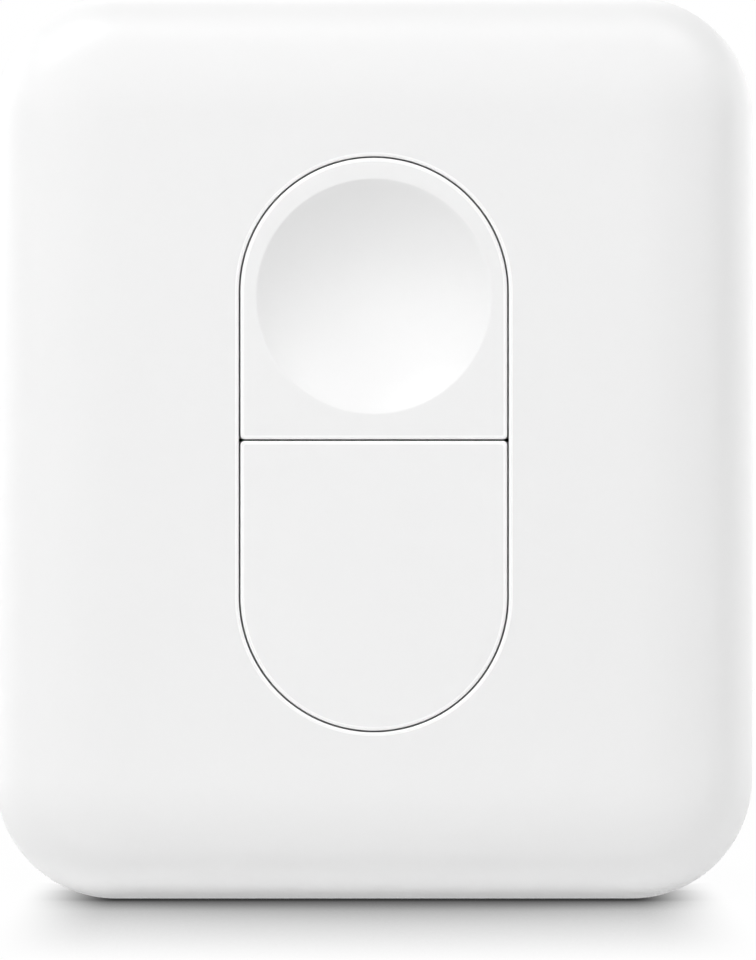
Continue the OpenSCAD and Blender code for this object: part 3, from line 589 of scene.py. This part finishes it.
class SMARTBUTTON_OT_front_housing(bpy.types.Operator):
    """Build the front housing with its soft front edge, key opening and screw bosses"""

    bl_idname = "smart_button.front_housing"
    bl_label = "Front Housing"

    def execute(self, context):
        shell = context.scene.shell_sizes
        keys = context.scene.key_sizes
        top = shell.depth
        face_z = top - shell.face_t
        run = keys.opening_l - keys.opening_w
        outline = shell.outline

        def opening(outset, z):
            return pill_ring(keys.opening_w / 2 + outset, run, keys.opening_y, z)

        rings = [opening(0, face_z), opening(0, top - keys.edge_r - FLAT_STRIP)]
        rings += [opening(keys.edge_r + x, top - keys.edge_r + z)
                  for x, z in arc(keys.edge_r, 180, 90, EDGE_STEPS)]
        rings.append(opening(keys.edge_r + HIGHLIGHT_STRIP, top))
        # these bands, from the top of the opening's wall over its rounded edge to the strip beside
        # it, take the second finish, a painted highlight
        edges = range(1, len(rings) - 1)
        # the front edge is a wide arc that runs off the face into a tight one
        gain = shell.sweep_r - shell.edge_r
        turn = math.degrees(shell.sweep_turn)
        sweep_inset = shell.edge_r + gain * math.sin(shell.sweep_turn)
        tight_z = top - shell.sweep_r + gain * math.cos(shell.sweep_turn)
        rings.append(outline(sweep_inset + FLAT_STRIP, top))
        rings += [outline(sweep_inset - x, top - shell.sweep_r + z)
                  for x, z in arc(shell.sweep_r, 90, 90 - turn, 2 * EDGE_STEPS)]
        rings += [outline(shell.edge_r - x, tight_z + z)
                  for x, z in arc(shell.edge_r, 90 - turn, 0, 4 * EDGE_STEPS)[1:]]
        rings.append(outline(0, tight_z - FLAT_STRIP))
        rings.append(outline(0, shell.seam_z + shell.seam_edge_r + FLAT_STRIP))
        rings += [outline(shell.seam_edge_r - x, shell.seam_z + shell.seam_edge_r + z)
                  for x, z in arc(shell.seam_edge_r, 0, -90, EDGE_STEPS)]
        rings.append(outline(shell.wall_t, shell.seam_z))
        rings += [outline(shell.wall_t + shell.inner_edge_r - x, face_z - shell.inner_edge_r + z)
                  for x, z in arc(shell.inner_edge_r, 0, 90, 2 * EDGE_STEPS)]
        piece = skin("housing_shell", rings, closed=True, edges=edges)
        bore_z = shell.boss_z + shell.bore_l
        # a boss is rooted a little way inside the front wall
        root_z = face_z + shell.face_t / 4
        boss = ((0, bore_z), (shell.bore_d / 2, bore_z), (shell.bore_d / 2, shell.boss_z),
                (shell.boss_d / 2, shell.boss_z), (shell.boss_d / 2, root_z), (0, root_z))
        combine(piece, [turned("boss", boss, (side_x * shell.boss_x, side_y * shell.boss_y))
                        for side_x, side_y in QUARTERS], "UNION")
        place(piece, ("moulded_abs_shell", "burnished_abs_edge"), "body", "shell_white",
              "front_housing")
        return {"FINISHED"}


class SMARTBUTTON_OT_back_cover(bpy.types.Operator):
    """Build the back cover with its pad recess, tongue, grip ribs and nick"""

    bl_idname = "smart_button.back_cover"
    bl_label = "Back Cover"

    def execute(self, context):
        shell = context.scene.shell_sizes
        top = shell.seam_z - shell.seam_gap
        tongue_inset = shell.wall_t + shell.tongue_gap
        tongue_z = shell.seam_z + shell.tongue_l
        outline = shell.outline

        def pad(outset, z):
            return rect_ring(shell.pad_w + 2 * outset, shell.pad_h + 2 * outset,
                             shell.pad_r + outset, z)

        rings = [pad(-FLAT_STRIP, shell.pad_depth), pad(0, shell.pad_depth)]
        rings += [pad(shell.pad_edge_r + x, shell.pad_edge_r - z)
                  for x, z in arc(shell.pad_edge_r, 180, 90, EDGE_STEPS)]
        rings += [pad(shell.pad_edge_r + FLAT_STRIP, 0), outline(shell.back_edge_r + FLAT_STRIP, 0)]
        rings += [outline(shell.back_edge_r - x, shell.back_edge_r + z)
                  for x, z in arc(shell.back_edge_r, -90, 0, 2 * EDGE_STEPS)]
        rings += [outline(shell.seam_edge_r - x, top - shell.seam_edge_r + z)
                  for x, z in arc(shell.seam_edge_r, 0, 90, EDGE_STEPS)]
        rings += [outline(shell.seam_edge_r + FLAT_STRIP, top), outline(tongue_inset, top)]
        edge_r = shell.tongue_edge_r
        rings += [outline(tongue_inset + edge_r - x, tongue_z - edge_r + z)
                  for x, z in arc(edge_r, 0, 90, EDGE_STEPS)]
        rings += [outline(tongue_inset + shell.tongue_t - edge_r - x, tongue_z - edge_r + z)
                  for x, z in arc(edge_r, 90, 180, EDGE_STEPS)]
        floor = outline(tongue_inset + shell.tongue_t, shell.cover_t)
        ring_z = shell.cover_t + shell.ring_h
        rings.append(floor)
        rings += [circle_ring(floor, radius, z) for radius, z in (
            (shell.ring_r, shell.cover_t), (shell.ring_r, ring_z),
            (shell.ring_r - shell.ring_t, ring_z), (shell.ring_r - shell.ring_t, shell.cover_t))]
        piece = skin("cover_shell", rings)
        across = shell.width / 2 - tongue_inset
        along = shell.height / 2 - tongue_inset
        rib_in = shell.grip_r - shell.grip_h
        rib_low = shell.seam_z + shell.grip_r
        rib_high = tongue_z - shell.grip_r
        rib = ((0, rib_low), (shell.grip_r, rib_low), (shell.grip_r, rib_high), (0, rib_high))
        places = [(side_x * (across - rib_in), side_y * along / 2) for side_x, side_y in QUARTERS]
        places += [(side_x * across / 2, side_y * (along - rib_in)) for side_x, side_y in QUARTERS]
        combine(piece, [turned("rib", rib, at) for at in places], "UNION")
        nick = (shell.nick_w, 2 * shell.nick_d, 2 * shell.nick_h)
        edge = (0, -shell.height / 2)
        combine(piece, [bar("nick", nick, top - shell.nick_h, edge)], "DIFFERENCE")
        place(piece, ("moulded_abs_shell",), "back_cover", "shell_white", "back_cover")
        return {"FINISHED"}


class SMARTBUTTON_OT_keys(bpy.types.Operator):
    """Build the upper key with its finger dimple and the plain lower key"""

    bl_idname = "smart_button.keys"
    bl_label = "Keys"

    def execute(self, context):
        keys = context.scene.key_sizes
        top = context.scene.shell_sizes.depth
        end_y = keys.opening_l / 2 - keys.gap
        for name, upper in (("upper_key", True), ("lower_key", False)):
            side = 1 if upper else -1
            edge_y = side * keys.split_y + keys.gap / 2
            centre_y = keys.opening_y + side * (end_y + edge_y) / 2
            if upper:
                centre_y += keys.dimple_rise
            rim = self.rim(keys, upper, top)
            rings = self.hollow(keys, rim[0], centre_y, top) if upper else [[(0, centre_y, top)]]
            # the strip beside the key's edge and the rounded edge take the second finish, a painted
            # highlight
            edges = range(len(rings), len(rings) + EDGE_STEPS + 1)
            rings += rim
            rings += self.underside(keys, upper, centre_y, top)
            piece = skin(name + "_cap", rings, edges=edges)
            if not upper:
                self.add_ribs(keys, piece, centre_y, top)
            place(piece, ("moulded_abs_key", "burnished_abs_edge"), name, "key_white", name)
        return {"FINISHED"}

    def ball(self, keys, top):
        """Radius of the dimple's sphere and the height of its centre."""
        radius = ((keys.dimple_d / 2) ** 2 + keys.dimple_depth ** 2) / (2 * keys.dimple_depth)
        return radius, top - keys.dimple_depth + radius

    def hollow(self, keys, like, centre_y, top):
        """Rings of the dimple, a part of a sphere with a softened rim."""
        ball_r, ball_z = self.ball(keys, top)
        rim_z = top - keys.dimple_rim_r
        rim_x = math.sqrt((ball_r + keys.dimple_rim_r) ** 2 - (ball_z - rim_z) ** 2)
        slope = math.degrees(math.atan2(rim_x, ball_z - rim_z))
        profile = [(x, ball_z + z) for x, z in arc(ball_r, -90, slope - 90, 4 * EDGE_STEPS)[1:]]
        profile += [(rim_x + x, rim_z + z)
                    for x, z in arc(keys.dimple_rim_r, 90 + slope, 90, EDGE_STEPS)[1:]]
        profile.append((rim_x + FLAT_STRIP, top))
        return [[(0, centre_y, top - keys.dimple_depth)]] + [
            circle_ring(like, radius, z, centre_y) for radius, z in profile]

    def rim(self, keys, upper, top):
        """Rings from the flat of a key over its edge and down to the foot of its flange."""
        flange_top = keys.flange_z + keys.flange_t
        rings = [key_ring(keys, upper, keys.edge_r + HIGHLIGHT_STRIP, keys.edge_r + HIGHLIGHT_STRIP,
                          keys.corner_r - keys.edge_r, top)]
        for x, z in arc(keys.edge_r, 90, 0, EDGE_STEPS):
            inset = keys.edge_r - x
            rings.append(key_ring(keys, upper, inset, inset, keys.corner_r - inset,
                                  top - keys.edge_r + z))
        rings.append(key_ring(keys, upper, 0, 0, keys.corner_r, flange_top))
        rings += [key_ring(keys, upper, -keys.flange_w, FLAT_STRIP, keys.corner_r, z)
                  for z in (flange_top, keys.flange_z)]
        return rings

    def underside(self, keys, upper, centre_y, top):
        """Rings of the pocket under a key, down to the end of its stem."""
        plate_z = top - keys.plate_t
        rings = [key_ring(keys, upper, keys.rim_t, keys.rim_t, keys.corner_r, z)
                 for z in (keys.flange_z, plate_z)]
        like = rings[-1]
        profile = []
        if upper:
            ball_r, ball_z = self.ball(keys, top)
            under_r = ball_r + keys.dimple_wall_t
            begin = math.degrees(math.acos((ball_z - plate_z) / under_r))
            end = math.degrees(math.asin(keys.stem_d / 2 / under_r))
            profile += [(x, ball_z + z)
                        for x, z in arc(under_r, begin - 90, end - 90, 2 * EDGE_STEPS)]
        else:
            profile.append((keys.stem_d / 2, plate_z))
        profile.append((keys.stem_d / 2, keys.stem_z))
        rings += [circle_ring(like, radius, z, centre_y) for radius, z in profile]
        return rings + [[(0, centre_y, keys.stem_z)]]

    def add_ribs(self, keys, piece, centre_y, top):
        """Crossed ribs that stiffen the lower key round its stem."""
        reach = keys.opening_w - 2 * keys.gap - keys.rim_t
        height = top - keys.plate_t / 2 - keys.rib_z
        combine(piece, [bar("rib", size, keys.rib_z, (0, centre_y)) for size in (
            (reach, keys.rib_t, height), (keys.rib_t, reach, height))], "UNION")


class SMARTBUTTON_OT_circuit_board(bpy.types.Operator):
    """Finish the circuit board, its screws and the small parts on it"""

    bl_idname = "smart_button.circuit_board"
    bl_label = "Circuit Board"

    def execute(self, context):
        dress("circuit_board", "solder_mask_green")
        dress("radio_chip", "moulded_epoxy_black")
        soften("board_screws", ("zinc_plated_steel",), edge=0.06 * MM)
        soften("radio_crystal", ("plated_nickel_lid",), edge=0.15 * MM)
        soften("watch_crystal", ("plated_nickel_lid",), edge=0.12 * MM)
        soften("chip_capacitors", ("fired_ceramic_tan", "tinned_terminal"),
               edge=0.05 * MM, ends=0.22 * MM)
        soften("chip_resistors", ("glazed_ceramic_black", "tinned_terminal"),
               edge=0.04 * MM, ends=0.2 * MM)
        soften("status_led", ("cast_epoxy_amber", "tinned_terminal"),
               edge=0.06 * MM, ends=0.25 * MM)
        dress("antenna_track", "immersion_gold")
        dress("test_pads", "immersion_gold")
        return {"FINISHED"}


class SMARTBUTTON_OT_switches(bpy.types.Operator):
    """Finish the two switches under the keys"""

    bl_idname = "smart_button.switches"
    bl_label = "Switches"

    def execute(self, context):
        for key in ("upper", "lower"):
            switch = key + "_switch_"
            # the snap dome, which goes flat on its foot towards the back under a pressed plunger,
            # gets a mesh of its own
            dome = soften(switch + "dome", ("rolled_spring_steel",))
            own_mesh(dome)
            soften(switch + "base", ("moulded_pbt_black",), edge=0.08 * MM)
            soften(switch + "terminals", ("tin_plated_brass",), edge=0.03 * MM)
            soften(switch + "plunger", ("moulded_acetal_grey",), edge=0.08 * MM)
            soften(switch + "cover", ("tin_plated_brass",), edge=0.04 * MM)
        return {"FINISHED"}


class SMARTBUTTON_OT_battery(bpy.types.Operator):
    """Finish the battery holder, its contacts and the coin cell"""

    bl_idname = "smart_button.battery"
    bl_label = "Battery"

    def execute(self, context):
        soften("battery_holder", ("moulded_pbt_black",), edge=0.12 * MM)
        soften("positive_contact", ("rolled_spring_steel",), edge=0.05 * MM)
        soften("negative_contact", ("rolled_spring_steel",), edge=0.05 * MM)
        dress("coin_cell_can", "drawn_nickel_steel")
        dress("coin_cell_cap", "drawn_nickel_steel")
        dress("coin_cell_seal", "moulded_polypropylene")
        dress("coin_cell_electrodes", "pressed_pellet")
        return {"FINISHED"}


# Soft boxes: direction seen from the part, in degrees left of the face and above the floor,
# distance and side in metres, and power in watts.
LAMPS = {
    "key": (45, 55, 0.4, 0.1, 0.83),
    "high_right": (-45, 55, 0.4, 0.1, 0.35),
    "right": (-35, 30, 0.4, 0.1, 0.16),
    "front": (0, 8, 0.4, 0.2, 0.15),
    "front_left": (35, 8, 0.4, 0.2, 0.22),
    "side_left": (105, 12, 0.4, 0.2, 0.37),
    "side_right": (-105, 12, 0.4, 0.2, 0.41),
    "back_left": (140, 12, 0.4, 0.2, 0.22),
    "back_right": (-140, 12, 0.4, 0.2, 0.22),
    "back": (180, 45, 0.4, 0.2, 0.2),
}

# The table: its radius and sides, the reach of its wide and its close painted shade, drawn from
# ambient occlusion, and the samples of both, the spans over which that painted shade ends beside
# and behind the part, the span over which the painted shade of a pulled cover begins, the one over
# which the light from below ends, and the one over which the table turns plain white.
TABLE_R = 2.0
TABLE_STEPS = 64
WIDE_SHADE = 50 * MM
CLOSE_SHADE = 9 * MM
SHADE_SAMPLES = 16
BESIDE = (12.4 * MM, 17.2 * MM)
BEHIND = (4 * MM, 14 * MM)
PULLED = (14 * MM, 18 * MM)
WEDGE = (2.4 * MM, 6 * MM)
PLAIN = (0.1, 0.4)
# Powers that deepen the wide shade and the shade at a pulled cover's foot, the grey of full shade,
# the share of its white that the table throws on the part, the light in the wedge, and the glow's
# share in what is seen near the part.
WIDE_POWER = 2.25
FOOT_POWER = 2.0
FULL_SHADE = (0.04, 0.04, 0.04, 1)
THROWN = 0.95
WEDGE_LIGHT = 0.34
GLOW = 0.97


def seen_rays(tree):
    """Output that is 1 for what the eye sees, directly, in gloss or through glass, and else 0."""
    ray = add_node(tree, "ShaderNodeLightPath", {}).outputs
    seen = ray["Is Camera Ray"]
    for kind in ("Is Glossy Ray", "Is Transmission Ray"):
        both = add_node(tree, "ShaderNodeMath", {0: seen, 1: ray[kind]}, operation="MAXIMUM")
        seen = both.outputs["Value"]
    return seen


class SMARTBUTTON_OT_stage(bpy.types.Operator):
    """Set the floor, the white surroundings, the soft boxes and the camera"""

    bl_idname = "smart_button.stage"
    bl_label = "Stage"

    def execute(self, context):
        scene = context.scene
        self.make_floor(scene)
        self.make_surroundings(scene)
        middle = Vector((0, 0, scene.shell_sizes.height / 2))
        for name, (left, above, away, side, power) in LAMPS.items():
            lamp = bpy.data.lights.new(name, "AREA")
            lamp.shape = "SQUARE"
            lamp.size = side
            lamp.energy = power
            box = bpy.data.objects.new(name, lamp)
            turn, rise = math.radians(left), math.radians(above)
            towards = Vector((-math.sin(turn) * math.cos(rise), -math.cos(turn) * math.cos(rise),
                              math.sin(rise)))
            box.location = middle + away * towards
            box.rotation_mode = "QUATERNION"
            box.rotation_quaternion = towards.to_track_quat("Z", "Y")
            box.visible_camera = False
            scene.collection.objects.link(box)
        self.make_camera(scene)
        scene.view_settings.view_transform = "Standard"
        return {"FINISHED"}

    def make_floor(self, scene):
        """Wide round table that the part stands on."""
        form = bmesh.new()
        bmesh.ops.create_circle(form, cap_ends=True, segments=TABLE_STEPS, radius=TABLE_R)
        mesh = bpy.data.meshes.new("floor")
        form.to_mesh(mesh)
        form.free()
        floor = bpy.data.objects.new("floor", mesh)
        scene.collection.objects.link(floor)
        mesh.materials.append(self.table_finish(scene.button_colours.floor))

    def table_finish(self, colour):
        """Table that glows white to the eye with painted shade, and throws plain white and some
        light from below on the part.
        """
        table = bpy.data.materials.new("opal_acrylic")
        table.use_nodes = True
        table.cycles.emission_sampling = "NONE"
        tree = table.node_tree
        tree.nodes.clear()
        where = add_node(tree, "ShaderNodeTexCoord", {}).outputs["Object"]
        at = add_node(tree, "ShaderNodeSeparateXYZ", {"Vector": where}).outputs
        across, along = [
            add_node(tree, "ShaderNodeMath", {0: at[axis]}, operation="ABSOLUTE").outputs["Value"]
            for axis in "XY"]
        beside = add_node(tree, "ShaderNodeMapRange", {
            "Value": across, "From Min": BESIDE[0], "From Max": BESIDE[1]},
            interpolation_type="SMOOTHSTEP").outputs["Result"]
        tone = self.table_tone(tree, at["Y"], beside, colour)
        # the eye, gloss and glass see the glow with its painted shade. The part gets the plain
        # white of the table, and light from below in the narrow wedge under its rounded lower edges
        seen = seen_rays(tree)
        white = add_node(tree, "ShaderNodeMix", {
            0: seen, MIX_A: shaded(colour, THROWN), MIX_B: tone}, data_type="RGBA")
        wedge = add_node(tree, "ShaderNodeMapRange", {
            "Value": along, "From Min": WEDGE[0], "From Max": WEDGE[1], "To Min": WEDGE_LIGHT,
            "To Max": 0.0}, interpolation_type="SMOOTHSTEP")
        unlit = add_node(tree, "ShaderNodeMath", {0: seen, 1: beside}, operation="MAXIMUM")
        wedge = add_node(tree, "ShaderNodeMix", {
            0: unlit.outputs["Value"], NUMBER_A: wedge.outputs["Result"], NUMBER_B: 0.0})
        card = add_node(tree, "ShaderNodeBsdfPrincipled", {
            "Base Color": white.outputs[MIX_OUT], "Roughness": 0.9, "Specular IOR Level": 0.1,
            "Emission Color": (1, 1, 1, 1), "Emission Strength": wedge.outputs[NUMBER_OUT]})
        glow = add_node(tree, "ShaderNodeEmission", {"Color": tone, "Strength": 1.0})
        away = add_node(tree, "ShaderNodeVectorMath", {0: where}, operation="LENGTH")
        share = add_node(tree, "ShaderNodeMapRange", {
            "Value": away.outputs["Value"], "From Min": PLAIN[0], "From Max": PLAIN[1],
            "To Min": GLOW}, interpolation_type="SMOOTHSTEP")
        share = add_node(tree, "ShaderNodeMath", {0: share.outputs["Result"], 1: seen},
                         operation="MULTIPLY")
        both = add_node(tree, "ShaderNodeMixShader", {
            0: share.outputs["Value"], 1: card.outputs["BSDF"], 2: glow.outputs["Emission"]})
        add_node(tree, "ShaderNodeOutputMaterial", {"Surface": both.outputs["Shader"]})
        return table

    def table_tone(self, tree, along, beside, colour):
        """White of the table with painted soft shade before the part and a darker painted shade
        line at its foot, both thinner under its round corners."""
        behind = add_node(tree, "ShaderNodeMapRange", {
            "Value": along, "From Min": BEHIND[0], "From Max": BEHIND[1]},
            interpolation_type="SMOOTHSTEP").outputs["Result"]
        wide, close = [add_node(tree, "ShaderNodeAmbientOcclusion", {"Distance": reach},
                                samples=SHADE_SAMPLES).outputs["AO"]
                       for reach in (WIDE_SHADE, CLOSE_SHADE)]
        wide = add_node(tree, "ShaderNodeMath", {0: wide, 1: WIDE_POWER}, operation="POWER")
        depth = add_node(tree, "ShaderNodeMath", {0: wide.outputs["Value"], 1: close},
                         operation="MULTIPLY")
        shade = add_node(tree, "ShaderNodeMix", {
            0: depth.outputs["Value"], MIX_A: FULL_SHADE, MIX_B: colour}, data_type="RGBA")
        bare = add_node(tree, "ShaderNodeMath", {0: beside, 1: behind}, operation="MAXIMUM")
        tone = add_node(tree, "ShaderNodeMix", {
            0: bare.outputs["Value"], MIX_A: shade.outputs[MIX_OUT], MIX_B: colour},
            data_type="RGBA").outputs[MIX_OUT]
        # a cover that is pulled off behind the part gets a painted shade line at its own foot
        foot = add_node(tree, "ShaderNodeMath", {0: close, 1: FOOT_POWER}, operation="POWER")
        pulled = add_node(tree, "ShaderNodeMapRange", {
            "Value": along, "From Min": PULLED[0], "From Max": PULLED[1]},
            interpolation_type="SMOOTHSTEP").outputs["Result"]
        foot = add_node(tree, "ShaderNodeMix", {
            0: pulled, NUMBER_A: 1.0, NUMBER_B: foot.outputs["Value"]}).outputs[NUMBER_OUT]
        return add_node(tree, "ShaderNodeMix", {0: foot, MIX_A: FULL_SHADE, MIX_B: tone},
                        data_type="RGBA").outputs[MIX_OUT]

    def make_surroundings(self, scene):
        """White all round to the eye and in reflections, which throws no light on the part."""
        world = bpy.data.worlds.new("white_tent")
        scene.world = world
        world.use_nodes = True
        tree = world.node_tree
        tree.nodes.clear()
        white = add_node(tree, "ShaderNodeBackground", {
            "Color": (1, 1, 1, 1), "Strength": seen_rays(tree)})
        add_node(tree, "ShaderNodeOutputWorld", {"Surface": white.outputs["Background"]})

    def make_camera(self, scene):
        """Long lens, level and straight in front of the face."""
        stage = scene.stage_sizes
        lens = bpy.data.cameras.new("camera")
        lens.lens = lens.sensor_width * stage.camera_away / stage.frame_h
        camera = bpy.data.objects.new("camera", lens)
        camera.location = (stage.camera_x, -stage.widest_y - stage.camera_away, stage.camera_z)
        camera.rotation_euler = (math.pi / 2, 0, 0)
        scene.collection.objects.link(camera)
        scene.camera = camera


OPERATORS = (SMARTBUTTON_OT_front_housing, SMARTBUTTON_OT_back_cover, SMARTBUTTON_OT_keys,
             SMARTBUTTON_OT_circuit_board, SMARTBUTTON_OT_switches, SMARTBUTTON_OT_battery,
             SMARTBUTTON_OT_stage)
GROUPS = {"shell_sizes": ShellSizes, "key_sizes": KeySizes, "button_colours": Colours,
          "stage_sizes": StageSizes}


class SMARTBUTTON_PT_panel(bpy.types.Panel):
    """Sizes, colours and building steps of the smart button"""

    bl_idname = "SMARTBUTTON_PT_panel"
    bl_label = "Smart Button"
    bl_space_type = "VIEW_3D"
    bl_region_type = "UI"
    bl_category = "Smart Button"

    def draw(self, context):
        for name, group in GROUPS.items():
            box = self.layout.box()
            box.label(text=group.__doc__)
            for value in group.__annotations__:
                box.prop(getattr(context.scene, name), value)
        for operator in OPERATORS:
            self.layout.operator(operator.bl_idname)


def register():
    for group in GROUPS.values():
        bpy.utils.register_class(group)
    for operator in OPERATORS:
        bpy.utils.register_class(operator)
    bpy.utils.register_class(SMARTBUTTON_PT_panel)
    for name, group in GROUPS.items():
        setattr(bpy.types.Scene, name, PointerProperty(type=group))


def unregister():
    for name in GROUPS:
        delattr(bpy.types.Scene, name)
    bpy.utils.unregister_class(SMARTBUTTON_PT_panel)
    for made in (*OPERATORS, *GROUPS.values()):
        bpy.utils.unregister_class(made)


def main():
    register()
    bpy.ops.smart_button.front_housing()
    bpy.ops.smart_button.back_cover()
    bpy.ops.smart_button.keys()
    bpy.ops.smart_button.circuit_board()
    bpy.ops.smart_button.switches()
    bpy.ops.smart_button.battery()
    bpy.ops.smart_button.stage()


if __name__ == "__main__":
    main()
